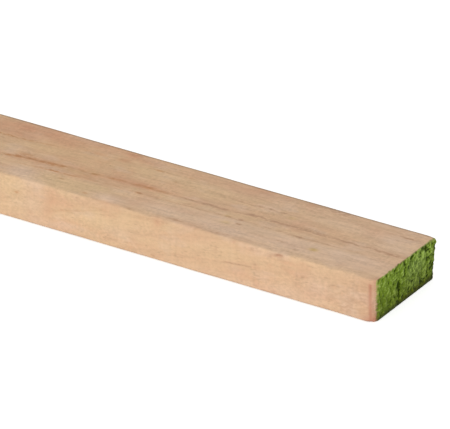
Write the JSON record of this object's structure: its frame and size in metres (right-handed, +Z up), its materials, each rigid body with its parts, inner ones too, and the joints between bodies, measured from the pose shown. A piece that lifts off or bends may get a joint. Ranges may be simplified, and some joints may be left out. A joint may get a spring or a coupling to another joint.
{
  "type": "sawn timber board",
  "caption": "Rough-sawn hardwood board of plain rectangular section with blunted long edges and one green-painted end, building stock to be cut, nailed or screwed.",
  "frame": {"origin": "middle of the underside: half way along the sawn length and half way across the width", "axes": "+X along the grain towards the painted end, +Y across the wide faces away from the front edge, +Z up out of the top wide face"},
  "size_m": [1.8005, 0.1, 0.038],
  "materials": {
    "sawn_hardwood": "rough-sawn, bare",
    "end_paint": "brushed matt paint over rough-sawn end grain"
  },
  "bodies": {
    "root": {"board": "sawn_hardwood"}
  },
  "joints": []
}
